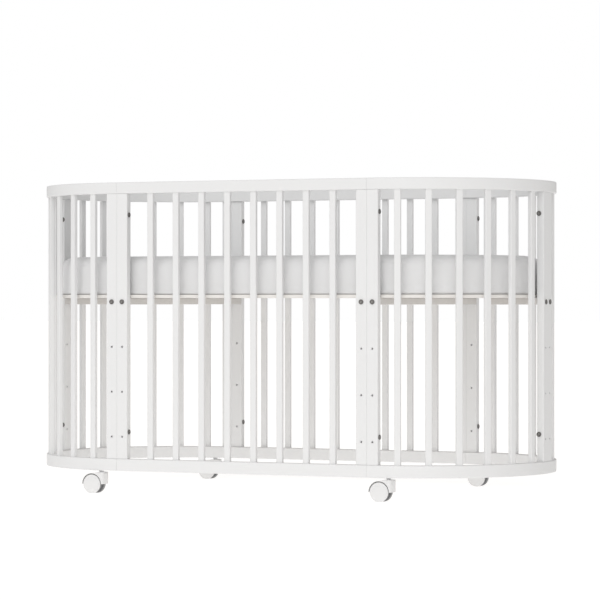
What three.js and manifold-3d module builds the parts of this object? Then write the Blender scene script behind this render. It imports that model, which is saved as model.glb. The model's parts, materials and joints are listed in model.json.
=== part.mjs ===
// An oval baby crib: a slatted wooden ring that stands on four twin-wheel casters.
// The ring is six bolted panels. Two are straight and four are quarter circles, so the plan is
// two half circles joined by straights. The mattress lies on a base that hangs between the posts.
//
// Millimetres, +X along the crib, +Y to the back, +Z up. The origin is on the floor at the middle.

import * as THREE from "three";
import { mergeVertices } from "three/addons/utils/BufferGeometryUtils.js";
import Module from "manifold-3d";

// ---- driving dimensions ----

// plan: the posts' outer faces lie on this oval
const END_RADIUS = 375; // of the half circles
const HALF_STRAIGHT = 375; // from the middle of the crib to the half circles' centres

// heights above the floor
const FRAME_BASE = 64; // underside of the lower rails
const FRAME_TOP = 860.6; // top of the upper rails
const LOWER_RAIL_HEIGHT = 33.6;
const UPPER_RAIL_HEIGHT = 31;

// rails, posts and slats
const RAIL_PROUD = 2; // how far the rails stand out past the posts
const RAIL_DEPTH = 28;
const STILE_WIDTH = 32; // two stiles, one from each panel, make a post
const STILE_DEPTH = 20;
const SLAT_WIDTH = 18;
const SLAT_DEPTH = 12;
const SLAT_SET_BACK = 2.5; // behind the posts' outer faces
const STRAIGHT_SLATS = 8;
const CURVED_SLATS = 6;
const SLAT_TENON = 12; // length of a slat's end inside the lower rail

// bolts that hold the mattress base, and the spare holes that let it hang lower
const BASE_BOLT_HEIGHT = 530.9;
const BASE_HEIGHTS = 4;
const BASE_STEP = 124; // from one height to the next
const BOLT_OFFSET = 16; // from the seam between two stiles
const BOLT_HOLE_RADIUS = 3.3;
const BOLT_RADIUS = 3;
const BOLT_HEAD_RADIUS = 6.7;
const BOLT_HEAD_HEIGHT = 2.4;

// mattress base and mattress
const BEAM_BASE = 523.5;
const BEAM_HEIGHT = 17.7;
const BATTEN_LENGTH = 145;
const BOARD_THICKNESS = 9.3;
const BOARD_RADIUS = 350;
const MATTRESS_RADIUS = 347;
const MATTRESS_THICKNESS = 101.5;
const MATTRESS_EDGE = 18; // how far the edges are rounded off

// casters
const CASTER_ANGLE = THREE.MathUtils.degToRad(9); // round the curved panel from its straight end
const WHEEL_RADIUS = 26.7;
const WHEEL_TRAIL = 21.5; // from the stem back to the axle
const CASTER_WIDTH = 37; // over both wheels, and over the hood
const HOOD_WEB = 14; // thickness of the hood between the wheels
const HOOD_TOP = 59.2;
const HOOD_NOSE = 14.7; // from the stem to the hood's front
const NOSE_ROUND = 8.5; // of the hood's front corners, in plan
const NOSE_TOP_ROUND = 4.5;
const FENDER_RADIUS = 30.4; // of the hood's round back, about the axle
const FENDER_WALL = 1.2;
const AXLE_RADIUS = 3;
const AXLE_REACH = 14; // from the caster's middle to each end of the axle
const STEM_RADIUS = 4;
const STEM_COLLAR_RADIUS = 6.5;
const STEM_IN_RAIL = 24;
const STEM_IN_HOOD = 18;

const GAP = 0.3; // between pieces that touch
const ARC_STEPS = 16; // along each quarter circle
const ROUND_STEPS = 20; // round a wheel
const BOLT_STEPS = 12;

// ---- worked-out sizes ----

const QUARTER = Math.PI / 2;
const RAIL_OUTER = END_RADIUS + RAIL_PROUD;
const RAIL_INNER = RAIL_OUTER - RAIL_DEPTH;
const RAIL_CENTRE = (RAIL_OUTER + RAIL_INNER) / 2;
const LOWER_RAIL_TOP = FRAME_BASE + LOWER_RAIL_HEIGHT;
const UPPER_RAIL_BASE = FRAME_TOP - UPPER_RAIL_HEIGHT;
const SLAT_CENTRE = END_RADIUS - SLAT_SET_BACK - SLAT_DEPTH / 2;
const STILE_BASE = LOWER_RAIL_TOP + GAP;
const STILE_LENGTH = UPPER_RAIL_BASE - GAP - STILE_BASE;
const POST_INNER = END_RADIUS - STILE_DEPTH;
const BEAM_REACH = POST_INNER - GAP; // a beam's end, just inside the post
const BOARD_BASE = BEAM_BASE + BEAM_HEIGHT + GAP;
const MATTRESS_BASE = BOARD_BASE + BOARD_THICKNESS + GAP;
// a wheel stands on one of its flats, so its centre is a little lower than its radius
const WHEEL_CENTRE = WHEEL_RADIUS * Math.cos(Math.PI / ROUND_STEPS);

// ---- materials ----

const material = (color, roughness, metalness = 0) =>
  new THREE.MeshStandardMaterial({ color, roughness, metalness });

const PAINTED_WOOD = material(0xf2f1ef, 0.42);
const BOARD_WHITE = material(0xefe9e0, 0.5);
const COTTON = material(0xf4f4f3, 0.95);
const BOLT_STEEL = material(0x85868a, 0.35, 1);
const CASTER_PLASTIC = material(0xf0f0f0, 0.3);
const STEM_STEEL = material(0xa6a8ab, 0.3, 1);

// ---- shape helpers ----

const wasm = await Module();
wasm.setup();

/** A manifold solid of a closed three.js geometry. */
function solidOf(geometry) {
  const bare = geometry.index ? geometry.toNonIndexed() : geometry.clone();
  bare.deleteAttribute("normal");
  bare.deleteAttribute("uv");
  const merged = mergeVertices(bare, 1e-4);
  return new wasm.Manifold(
    new wasm.Mesh({
      numProp: 3,
      vertProperties: new Float32Array(merged.attributes.position.array),
      triVerts: new Uint32Array(merged.index.array),
    }),
  );
}

/** A three.js geometry of a manifold solid. */
function geometryOf(solid) {
  const { vertProperties, triVerts } = solid.getMesh();
  const geometry = new THREE.BufferGeometry();
  geometry.setAttribute("position", new THREE.BufferAttribute(vertProperties, 3));
  geometry.setIndex(new THREE.BufferAttribute(triVerts, 1));
  geometry.computeVertexNormals();
  return geometry;
}

/** A box given by its lowest and highest corners. */
function boxBetween([x0, y0, z0], [x1, y1, z1]) {
  const box = new THREE.BoxGeometry(x1 - x0, y1 - y0, z1 - z0);
  return box.translate((x0 + x1) / 2, (y0 + y1) / 2, (z0 + z1) / 2);
}

// three.js makes two steps of an arc for each curve segment.

/** A plan outline of quarter circles raised from one height to another. */
function raised(shape, base, top, curveSegments = ARC_STEPS / 2) {
  const options = { depth: top - base, bevelEnabled: false, curveSegments };
  return new THREE.ExtrudeGeometry(shape, options).translate(0, 0, base);
}

/** A side outline, drawn in X and Z, given a thickness from y0 to y1. */
function thickened(shape, y0, y1, curveSegments = 4) {
  const options = { depth: y1 - y0, bevelEnabled: false, curveSegments };
  return new THREE.ExtrudeGeometry(shape, options).rotateX(QUARTER).translate(0, y1, 0);
}

/** A round solid about Z, from [radius, z] points that run upwards from the axis to the axis. */
function turnedUpright(profile, steps) {
  const points = profile.map(([r, z]) => new THREE.Vector2(r, z));
  return new THREE.LatheGeometry(points, steps).rotateX(QUARTER);
}

/** A cylinder about Z, used to drill a hole. */
function drill(radius, base, top) {
  const cylinder = new THREE.CylinderGeometry(radius, radius, top - base, BOLT_STEPS);
  return cylinder.rotateX(QUARTER).translate(0, 0, (base + top) / 2);
}

function addMesh(parent, name, geometry, meshMaterial) {
  const mesh = new THREE.Mesh(geometry, meshMaterial);
  mesh.name = name;
  parent.add(mesh);
  return mesh;
}

/** A group placed at x, y and turned about Z. */
function placed(parent, x, y, turn = 0) {
  const group = new THREE.Group();
  group.position.set(x, y, 0);
  group.rotation.z = turn;
  parent.add(group);
  return group;
}

// ---- panels ----

// Each panel is drawn with its outer side towards -Y and then turned into place.

/** A straight rail between two posts' seams. */
function straightRail(base, top) {
  const end = HALF_STRAIGHT - GAP / 2;
  return boxBetween([-end, -RAIL_OUTER, base], [end, -RAIL_INNER, top]);
}

/** A quarter-circle rail about the origin, from straight down in plan to the right. */
function curvedRail(base, top) {
  const trim = GAP / 2 / END_RADIUS;
  const from = -QUARTER + trim;
  const to = -trim;
  const plan = new THREE.Shape();
  plan.absarc(0, 0, RAIL_OUTER, from, to, false);
  plan.absarc(0, 0, RAIL_INNER, to, from, true);
  return raised(plan, base, top);
}

/** One slat on the -Y side, from inside the lower rail to just under the upper rail. */
function slat() {
  const half = SLAT_WIDTH / 2;
  const outer = -(SLAT_CENTRE + SLAT_DEPTH / 2);
  return boxBetween(
    [-half, outer, LOWER_RAIL_TOP - SLAT_TENON],
    [half, outer + SLAT_DEPTH, UPPER_RAIL_BASE - GAP],
  );
}

/** A straight lower rail with its slats, evenly spaced between the posts. */
function straightPanel() {
  const clear = 2 * (HALF_STRAIGHT - STILE_WIDTH) - STRAIGHT_SLATS * SLAT_WIDTH;
  const pitch = clear / (STRAIGHT_SLATS + 1) + SLAT_WIDTH;
  let panel = solidOf(straightRail(FRAME_BASE, LOWER_RAIL_TOP));
  for (let i = 0; i < STRAIGHT_SLATS; i++) {
    const x = (i - (STRAIGHT_SLATS - 1) / 2) * pitch;
    panel = panel.add(solidOf(slat().translate(x, 0, 0)));
  }
  return geometryOf(panel);
}

/** A quarter-circle lower rail with its slats, drilled for a caster's stem. */
function curvedPanel(casterAngle) {
  const pitch = QUARTER / (CURVED_SLATS + 1);
  let panel = solidOf(curvedRail(FRAME_BASE, LOWER_RAIL_TOP));
  for (let i = 1; i <= CURVED_SLATS; i++) {
    panel = panel.add(solidOf(slat().rotateZ(i * pitch)));
  }
  const hole = drill(STEM_RADIUS + GAP, FRAME_BASE - 1, FRAME_BASE + STEM_IN_RAIL);
  hole.translate(0, -RAIL_CENTRE, 0).rotateZ(casterAngle);
  return geometryOf(panel.subtract(solidOf(hole)));
}

/** Half of a post: a flat stile with a column of holes, on the +X side of the seam. */
function stile() {
  const outline = new THREE.Shape([
    new THREE.Vector2(GAP / 2, STILE_BASE),
    new THREE.Vector2(STILE_WIDTH, STILE_BASE),
    new THREE.Vector2(STILE_WIDTH, STILE_BASE + STILE_LENGTH),
    new THREE.Vector2(GAP / 2, STILE_BASE + STILE_LENGTH),
  ]);
  for (let i = 0; i < BASE_HEIGHTS; i++) {
    const hole = new THREE.Path();
    const height = BASE_BOLT_HEIGHT - i * BASE_STEP;
    hole.absarc(BOLT_OFFSET, height, BOLT_HOLE_RADIUS, 0, 2 * Math.PI, true);
    outline.holes.push(hole);
  }
  return thickened(outline, 0, STILE_DEPTH, BOLT_STEPS / 2);
}

/** A bolt that runs inwards along +Y through a stile, its head on the stile's face. */
function baseBolt() {
  const head = BOLT_HEAD_HEIGHT + GAP;
  const profile = [
    [0, -head],
    [BOLT_HEAD_RADIUS - 1, -head],
    [BOLT_HEAD_RADIUS, -head + 0.8],
    [BOLT_HEAD_RADIUS, -GAP],
    [BOLT_RADIUS, -GAP],
    [BOLT_RADIUS, STILE_DEPTH],
    [0, STILE_DEPTH],
  ];
  const points = profile.map(([r, y]) => new THREE.Vector2(r, y));
  return new THREE.LatheGeometry(points, BOLT_STEPS);
}

// ---- mattress base ----

/** A beam across the crib, as wide as a post. */
function crossBeam() {
  return boxBetween(
    [-STILE_WIDTH, -BEAM_REACH, BEAM_BASE],
    [STILE_WIDTH, BEAM_REACH, BEAM_BASE + BEAM_HEIGHT],
  );
}

/** A short batten that reaches in from an end post, drawn on the -Y side. */
function endBatten() {
  return boxBetween(
    [-STILE_WIDTH, -BEAM_REACH, BEAM_BASE],
    [STILE_WIDTH, -BEAM_REACH + BATTEN_LENGTH, BEAM_BASE + BEAM_HEIGHT],
  );
}

function middleBoard() {
  const end = HALF_STRAIGHT - GAP / 2;
  return boxBetween(
    [-end, -BOARD_RADIUS, BOARD_BASE],
    [end, BOARD_RADIUS, BOARD_BASE + BOARD_THICKNESS],
  );
}

/** A half-round board on the +X side of the origin. */
function roundBoard() {
  const plan = new THREE.Shape();
  plan.moveTo(GAP / 2, -BOARD_RADIUS);
  plan.absarc(0, 0, BOARD_RADIUS, -QUARTER + GAP / BOARD_RADIUS, QUARTER - GAP / BOARD_RADIUS);
  plan.lineTo(GAP / 2, BOARD_RADIUS);
  return raised(plan, BOARD_BASE, BOARD_BASE + BOARD_THICKNESS, ARC_STEPS);
}

/** The mattress: an oval slab with its top and bottom edges rounded off. */
function mattress() {
  const radius = MATTRESS_RADIUS - MATTRESS_EDGE;
  const plan = new THREE.Shape();
  plan.absarc(HALF_STRAIGHT, 0, radius, -QUARTER, QUARTER);
  plan.absarc(-HALF_STRAIGHT, 0, radius, QUARTER, -QUARTER);
  const slab = new THREE.ExtrudeGeometry(plan, {
    depth: MATTRESS_THICKNESS - 2 * MATTRESS_EDGE,
    bevelSize: MATTRESS_EDGE,
    bevelThickness: MATTRESS_EDGE,
    bevelSegments: 2,
    curveSegments: ARC_STEPS,
  });
  return slab.translate(0, 0, MATTRESS_BASE + MATTRESS_EDGE);
}

// ---- casters ----

// A caster is drawn with its stem on the Z axis and its wheels trailing towards -X.

/** The steel pin: its upper end is in the rail, and its lower end turns in the hood. */
function casterStem() {
  const profile = [
    [0, HOOD_TOP - STEM_IN_HOOD + GAP],
    [STEM_RADIUS, HOOD_TOP - STEM_IN_HOOD + GAP],
    [STEM_RADIUS, HOOD_TOP + GAP],
    [STEM_COLLAR_RADIUS, HOOD_TOP + GAP],
    [STEM_COLLAR_RADIUS, FRAME_BASE - GAP],
    [STEM_RADIUS, FRAME_BASE - GAP],
    [STEM_RADIUS, FRAME_BASE + STEM_IN_RAIL - GAP],
    [0, FRAME_BASE + STEM_IN_RAIL - GAP],
  ];
  return turnedUpright(profile, BOLT_STEPS);
}

/** A cylinder about the axle, from one side of the caster's middle to the other. */
function aboutAxle(radius, y0, y1, steps) {
  const cylinder = new THREE.CylinderGeometry(radius, radius, y1 - y0, steps);
  return cylinder.translate(-WHEEL_TRAIL, (y0 + y1) / 2, WHEEL_CENTRE);
}

/** The hood's side: a flat front and top, and a round back down to the axle's height. */
function hoodSide() {
  const flatEnd = -STEM_COLLAR_RADIUS;
  const run = flatEnd + WHEEL_TRAIL;
  const rise = HOOD_TOP - WHEEL_CENTRE;
  // the top's sloping part meets the round back at a tangent
  const tangent = Math.atan2(rise, run) + Math.acos(FENDER_RADIUS / Math.hypot(run, rise));
  const side = new THREE.Shape();
  side.moveTo(HOOD_NOSE, WHEEL_CENTRE);
  side.lineTo(HOOD_NOSE, HOOD_TOP - NOSE_TOP_ROUND);
  side.absarc(
    HOOD_NOSE - NOSE_TOP_ROUND,
    HOOD_TOP - NOSE_TOP_ROUND,
    NOSE_TOP_ROUND,
    0,
    QUARTER,
    false,
  );
  side.lineTo(flatEnd, HOOD_TOP);
  side.absarc(-WHEEL_TRAIL, WHEEL_CENTRE, FENDER_RADIUS, tangent, Math.PI, false);
  return thickened(side, -CASTER_WIDTH / 2, CASTER_WIDTH / 2, 6);
}

/** The hood's plan: as wide as the wheels, with round corners at its front. */
function hoodPlan() {
  const half = CASTER_WIDTH / 2;
  const back = -WHEEL_TRAIL - FENDER_RADIUS - 1;
  const plan = new THREE.Shape();
  plan.moveTo(back, -half);
  plan.absarc(HOOD_NOSE - NOSE_ROUND, -half + NOSE_ROUND, NOSE_ROUND, -QUARTER, 0, false);
  plan.absarc(HOOD_NOSE - NOSE_ROUND, half - NOSE_ROUND, NOSE_ROUND, 0, QUARTER, false);
  plan.lineTo(back, half);
  return raised(plan, WHEEL_CENTRE - 1, HOOD_TOP + 1, 3);
}

/** The housing: a web between the wheels, a fender over them, a block round the stem, the axle. */
function casterHood() {
  const web = HOOD_WEB / 2;
  const beyond = CASTER_WIDTH / 2 + 1;
  const well = FENDER_RADIUS - FENDER_WALL;
  let hood = solidOf(hoodSide()).intersect(solidOf(hoodPlan()));
  hood = hood.subtract(solidOf(aboutAxle(well, -beyond, -web, 2 * ROUND_STEPS)));
  hood = hood.subtract(solidOf(aboutAxle(well, web, beyond, 2 * ROUND_STEPS)));
  hood = hood.subtract(solidOf(drill(STEM_RADIUS + GAP, HOOD_TOP - STEM_IN_HOOD, HOOD_TOP + 1)));
  hood = hood.add(solidOf(aboutAxle(2 * AXLE_RADIUS, -web, web, BOLT_STEPS)));
  return geometryOf(hood.add(solidOf(aboutAxle(AXLE_RADIUS, -AXLE_REACH, AXLE_REACH, BOLT_STEPS))));
}

/** A wheel on one end of the axle, side -1 in front of the hood or 1 behind it. */
function casterWheel(side) {
  const inner = HOOD_WEB / 2 + 2 * GAP;
  const outer = CASTER_WIDTH / 2;
  const profile = [
    [0, AXLE_REACH + GAP],
    [AXLE_RADIUS + GAP, AXLE_REACH + GAP],
    [AXLE_RADIUS + GAP, inner],
    [WHEEL_RADIUS - 2, inner],
    [WHEEL_RADIUS, inner + 2],
    [WHEEL_RADIUS, outer - 1.5],
    [WHEEL_RADIUS - 1.5, outer],
    [0, outer],
  ];
  const points = profile.map(([r, y]) => new THREE.Vector2(r, y));
  const wheel = new THREE.LatheGeometry(points, ROUND_STEPS, Math.PI / ROUND_STEPS);
  if (side < 0) wheel.rotateZ(2 * QUARTER);
  return wheel.translate(-WHEEL_TRAIL, 0, WHEEL_CENTRE);
}

// ---- assembly ----

const crib = new THREE.Group();

// The six posts, anticlockwise in plan. Each stands at a panel joint, with its outer side
// turned to face out. Half a ends the panel before the post, and half b starts the next one.
const POSTS = [
  { name: "front_left_post", x: -HALF_STRAIGHT, y: -END_RADIUS, turn: 0 },
  { name: "front_right_post", x: HALF_STRAIGHT, y: -END_RADIUS, turn: 0 },
  { name: "right_post", x: HALF_STRAIGHT + END_RADIUS, y: 0, turn: QUARTER },
  { name: "back_right_post", x: HALF_STRAIGHT, y: END_RADIUS, turn: 2 * QUARTER },
  { name: "back_left_post", x: -HALF_STRAIGHT, y: END_RADIUS, turn: 2 * QUARTER },
  { name: "left_post", x: -HALF_STRAIGHT - END_RADIUS, y: 0, turn: 3 * QUARTER },
];

for (const { name, x, y, turn } of POSTS) {
  const post = placed(crib, x, y, turn);
  const mirrored = solidOf(stile()).mirror([1, 0, 0]);
  addMesh(post, `${name}_stile_a`, geometryOf(mirrored), PAINTED_WOOD);
  addMesh(post, `${name}_stile_b`, stile(), PAINTED_WOOD);
  for (const [half, side] of [["a", -1], ["b", 1]]) {
    const bolt = addMesh(post, `${name}_bolt_${half}`, baseBolt(), BOLT_STEEL);
    bolt.position.set(side * BOLT_OFFSET, 0, BASE_BOLT_HEIGHT);
  }
}

for (const [name, turn] of [["front", 0], ["back", 2 * QUARTER]]) {
  const panel = placed(crib, 0, 0, turn);
  addMesh(panel, `${name}_upper_rail`, straightRail(UPPER_RAIL_BASE, FRAME_TOP), PAINTED_WOOD);
  addMesh(panel, `${name}_lower_rail_with_slats`, straightPanel(), PAINTED_WOOD);
}

// A curved panel's caster is near its straight neighbour, at the panel's start or at its end.
const CURVED = [
  { name: "front_right", side: 1, turn: 0, casterAngle: CASTER_ANGLE },
  { name: "back_right", side: 1, turn: QUARTER, casterAngle: QUARTER - CASTER_ANGLE },
  { name: "back_left", side: -1, turn: 2 * QUARTER, casterAngle: CASTER_ANGLE },
  { name: "front_left", side: -1, turn: 3 * QUARTER, casterAngle: QUARTER - CASTER_ANGLE },
];

for (const { name, side, turn, casterAngle } of CURVED) {
  const centre = side * HALF_STRAIGHT;
  const panel = placed(crib, centre, 0, turn);
  addMesh(panel, `${name}_upper_rail`, curvedRail(UPPER_RAIL_BASE, FRAME_TOP), PAINTED_WOOD);
  addMesh(panel, `${name}_lower_rail_with_slats`, curvedPanel(casterAngle), PAINTED_WOOD);

  const round = turn + casterAngle;
  const stemX = centre + RAIL_CENTRE * Math.sin(round);
  const stemY = -RAIL_CENTRE * Math.cos(round);
  const caster = placed(crib, stemX, stemY);
  addMesh(caster, `${name}_caster_stem`, casterStem(), STEM_STEEL);
  addMesh(caster, `${name}_caster_hood_and_axle`, casterHood(), CASTER_PLASTIC);
  addMesh(caster, `${name}_caster_front_wheel`, casterWheel(-1), CASTER_PLASTIC);
  addMesh(caster, `${name}_caster_back_wheel`, casterWheel(1), CASTER_PLASTIC);
}

for (const [name, side] of [["left", -1], ["right", 1]]) {
  const end = placed(crib, side * HALF_STRAIGHT, 0, side * QUARTER);
  const beam = placed(crib, side * HALF_STRAIGHT, 0);
  addMesh(beam, `${name}_cross_beam`, crossBeam(), PAINTED_WOOD);
  addMesh(end, `${name}_end_batten`, endBatten(), PAINTED_WOOD);
  const half = placed(crib, side * HALF_STRAIGHT, 0, side > 0 ? 0 : 2 * QUARTER);
  addMesh(half, `${name}_base_board`, roundBoard(), BOARD_WHITE);
}
addMesh(crib, "middle_base_board", middleBoard(), BOARD_WHITE);
addMesh(crib, "mattress", mattress(), COTTON);

export default crib;
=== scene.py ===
import json
import math

import bpy
import numpy as np
from mathutils import Matrix, Vector


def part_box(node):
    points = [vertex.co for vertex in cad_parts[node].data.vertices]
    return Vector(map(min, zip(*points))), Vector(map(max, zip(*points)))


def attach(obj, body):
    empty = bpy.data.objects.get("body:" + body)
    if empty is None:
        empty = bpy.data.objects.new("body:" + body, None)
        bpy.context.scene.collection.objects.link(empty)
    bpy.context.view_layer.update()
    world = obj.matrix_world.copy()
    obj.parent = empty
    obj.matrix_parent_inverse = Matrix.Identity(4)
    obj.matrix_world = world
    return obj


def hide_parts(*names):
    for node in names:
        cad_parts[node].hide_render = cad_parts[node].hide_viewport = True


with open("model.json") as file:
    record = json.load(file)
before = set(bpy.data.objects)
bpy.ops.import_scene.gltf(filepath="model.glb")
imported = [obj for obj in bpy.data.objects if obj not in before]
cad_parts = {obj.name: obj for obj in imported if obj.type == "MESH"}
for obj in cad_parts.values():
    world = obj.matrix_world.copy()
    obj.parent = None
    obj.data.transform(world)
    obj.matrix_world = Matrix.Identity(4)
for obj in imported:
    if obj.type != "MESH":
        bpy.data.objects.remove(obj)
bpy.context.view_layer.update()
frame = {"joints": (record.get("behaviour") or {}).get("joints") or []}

# ---- sizes that the frame gives, in metres ----

front_rail_low, front_rail_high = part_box("front_upper_rail")
RAIL_OUTER = -front_rail_low.y
RAIL_INNER = -front_rail_high.y
UPPER_RAIL_BASE = front_rail_low.z
FRAME_TOP = front_rail_high.z
FRAME_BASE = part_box("front_lower_rail_with_slats")[0].z

inner_half_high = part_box("front_right_post_stile_a")[1]
outer_half_low, outer_half_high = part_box("front_right_post_stile_b")
HALF_STRAIGHT = (inner_half_high.x + outer_half_low.x) / 2
HALF_GAP = (outer_half_low.x - inner_half_high.x) / 2
STILE_WIDTH = outer_half_high.x - HALF_STRAIGHT
STILE_DEPTH = outer_half_high.y - outer_half_low.y
STILE_BASE = outer_half_low.z
STILE_TOP = outer_half_high.z
END_RADIUS = -outer_half_low.y
LOWER_RAIL_TOP = STILE_BASE - 2 * HALF_GAP

bolt_low, bolt_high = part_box("front_right_post_bolt_b")
BASE_BOLT_HEIGHT = (bolt_low.z + bolt_high.z) / 2
BOLT_OFFSET = (bolt_low.x + bolt_high.x) / 2 - HALF_STRAIGHT
HEAD_RADIUS = (bolt_high.z - bolt_low.z) / 2
HEAD_HEIGHT = -END_RADIUS - bolt_low.y

BASE_HEIGHTS = 4
base_joint = next(j for j in frame["joints"] if j["name"] == "mattress_base_height")
BASE_STEP = -base_joint["range_m"][0] / (BASE_HEIGHTS - 1)

# ---- sizes that only this script needs ----

SLAT_WIDTH = 0.018
SLAT_DEPTH = 0.012
SLAT_SET_BACK = 0.0025  # behind the posts' outer faces
STRAIGHT_SLATS = 8
CURVED_SLATS = 6
SLAT_TENON = 0.006  # how far a slat's ends run into the rails

# the horizontal bolts that join the panels: above the floor, and behind the posts' outer faces
EDGE_BOLT_HEIGHTS = (0.1719, 0.7707)
EDGE_BOLT_DEPTH = 0.010
END_BOLT_DEPTH = 0.014  # in the two end posts
SHANK_RADIUS = 0.003
HOLE_RADIUS = 0.0033

CAMERA_PLACE = (3.4277, -7.51, 0.5347)
CAMERA_TURN = math.radians(24.47)
CAMERA_LENS = 175.4  # millimetres, on a sensor 36 mm wide
CAMERA_SHIFT = 0.0008  # of the image's width, upwards
KEY_DIRECTION = (0.1, -0.8, 0.58)  # from the crib to the light
KEY_STRENGTH = 0.365
KEY_ANGLE = math.radians(60)  # how wide the light looks from the crib
SURROUND_SLOPE = (0, -0.04, 0.22)  # how much brighter the surround is that way
SURROUND_LEVEL = 0.33
FLOOR_GLOW = 0.77
FLOOR_REACH = 60

QUARTER = math.pi / 2
ROUND = 32  # points round a hole or a bolt
LATHE = 64  # points round a caster's parts

# Edges sharper than these angles stay sharp.
SHARP_HOLE = math.radians(40)
SHARP_LATHE = math.radians(45)
SHARP_BOARD = math.radians(50)

# Where each kind of bar starts in the wood's grain pattern, in metres, so that no two look alike.
STRAIGHT_RAIL_GRAIN = 0.7
CURVED_RAIL_GRAIN = 3
STRAIGHT_SLAT_GRAIN = 10
CURVED_SLAT_GRAIN = 30
BEAM_GRAIN = 40
BATTEN_GRAIN = 45

# ---- shading nodes ----


def new_material(name):
    """An empty node material, with its tree and its Principled shader."""
    made = bpy.data.materials.new(name)
    made.use_nodes = True
    tree = made.node_tree
    return made, tree, tree.nodes["Principled BSDF"]


def add(tree, kind, inputs=None, **settings):
    """A node of that kind. An input's value is a number or another node's socket."""
    node = tree.nodes.new("ShaderNode" + kind)
    for key, value in settings.items():
        setattr(node, key, value)
    for key, value in (inputs or {}).items():
        if isinstance(value, bpy.types.NodeSocket):
            tree.links.new(value, node.inputs[key])
        else:
            node.inputs[key].default_value = value
    return node


def noise(tree, where, scale, detail=3.0, roughness=0.5):
    """A noise pattern's value, from 0 to 1."""
    inputs = {"Vector": where, "Scale": scale, "Detail": detail, "Roughness": roughness}
    return add(tree, "TexNoise", inputs).outputs["Fac"]


def spread(tree, value, low, high):
    """A pattern's middle range, stretched from low to high."""
    inputs = {"Value": value, "From Min": 0.3, "From Max": 0.7, "To Min": low, "To Max": high}
    return add(tree, "MapRange", inputs).outputs["Result"]


def tinted(tree, value, dark, light):
    """A colour between two colours."""
    node = add(tree, "Mix", {"Factor": value}, data_type="RGBA")
    node.inputs[6].default_value = (*dark, 1)
    node.inputs[7].default_value = (*light, 1)
    return node.outputs[2]


def bumped(tree, height, distance, strength=1.0, below=None):
    """A normal that a pattern disturbs, over another one if given."""
    inputs = {"Height": height, "Distance": distance, "Strength": strength}
    if below is not None:
        inputs["Normal"] = below
    return add(tree, "Bump", inputs).outputs["Normal"]


def link(tree, socket, target):
    """Joins one node's output to another node's input."""
    tree.links.new(socket, target)


def painted_wood():
    """White satin paint on wood: faint long grain, fine brush texture, slight tint changes."""
    made, tree, shader = new_material("white_painted_wood")
    grain = add(tree, "Attribute", attribute_name="grain").outputs["Vector"]
    drawn = add(tree, "Mapping", {"Vector": grain, "Scale": (0.04, 1, 1)}).outputs["Vector"]
    fibres = noise(tree, drawn, 900, 4, 0.6)
    bands = noise(tree, drawn, 160, 2)
    peel = noise(tree, grain, 700, 2)
    cloud = noise(tree, grain, 14, 2)
    link(tree, tinted(tree, cloud, (0.786, 0.788, 0.789), (0.798, 0.80, 0.802)),
         shader.inputs["Base Color"])
    link(tree, spread(tree, bands, 0.42, 0.5), shader.inputs["Roughness"])
    coarse = bumped(tree, bands, 0.00002, 0.6)
    fine = bumped(tree, fibres, 0.00001, 0.6, below=coarse)
    link(tree, bumped(tree, peel, 0.00001, 0.6, below=fine), shader.inputs["Normal"])
    shader.inputs["Specular IOR Level"].default_value = 0.4
    return made


def primer(name, dark, light):
    """Thin primer on the mattress base, with the wood's grain just showing through it."""
    made, tree, shader = new_material(name)
    place = add(tree, "TexCoord").outputs["Object"]
    drawn = add(tree, "Mapping", {"Vector": place, "Scale": (0.06, 1, 1)}).outputs["Vector"]
    fibres = noise(tree, drawn, 420, 5, 0.65)
    rings = noise(tree, drawn, 60, 2)
    link(tree, tinted(tree, rings, dark, light), shader.inputs["Base Color"])
    link(tree, spread(tree, fibres, 0.45, 0.62), shader.inputs["Roughness"])
    link(tree, bumped(tree, fibres, 0.00008), shader.inputs["Normal"])
    return made


def cotton():
    """Plain-woven white cotton: threads crossing at half a millimetre, soft sheen."""
    made, tree, shader = new_material("white_cotton")
    place = add(tree, "TexCoord").outputs["Object"]
    facing = add(tree, "NewGeometry").outputs["Normal"]
    split = add(tree, "SeparateXYZ", {"Vector": facing})
    threads = None
    for axis in "XYZ":
        wave = add(tree, "TexWave", {"Vector": place, "Scale": 320.0, "Distortion": 0.6,
                                     "Detail": 1.0, "Detail Scale": 0.4},
                   wave_type="BANDS", bands_direction=axis)
        along = add(tree, "Math", {0: split.outputs[axis]}, operation="ABSOLUTE")
        across = add(tree, "Math", {0: 1.0, 1: along.outputs[0]}, operation="SUBTRACT")
        part = add(tree, "Math", {0: wave.outputs["Fac"], 1: across.outputs[0]},
                   operation="MULTIPLY").outputs[0]
        if threads is None:
            threads = part
        else:
            threads = add(tree, "Math", {0: threads, 1: part}, operation="ADD").outputs[0]
    slub = noise(tree, place, 260, 3)
    crease = noise(tree, place, 22, 4, 0.55)
    cloud = noise(tree, place, 7, 2)
    link(tree, tinted(tree, cloud, (0.755, 0.755, 0.757), (0.775, 0.775, 0.778)),
         shader.inputs["Base Color"])
    link(tree, spread(tree, slub, 0.82, 0.95), shader.inputs["Roughness"])
    soft = bumped(tree, crease, 0.002, 0.35)
    weave = bumped(tree, threads, 0.00012, 0.7, below=soft)
    link(tree, bumped(tree, slub, 0.0001, 0.5, below=weave), shader.inputs["Normal"])
    shader.inputs["Sheen Weight"].default_value = 0.25
    shader.inputs["Sheen Roughness"].default_value = 0.5
    shader.inputs["Specular IOR Level"].default_value = 0.2
    return made


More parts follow.
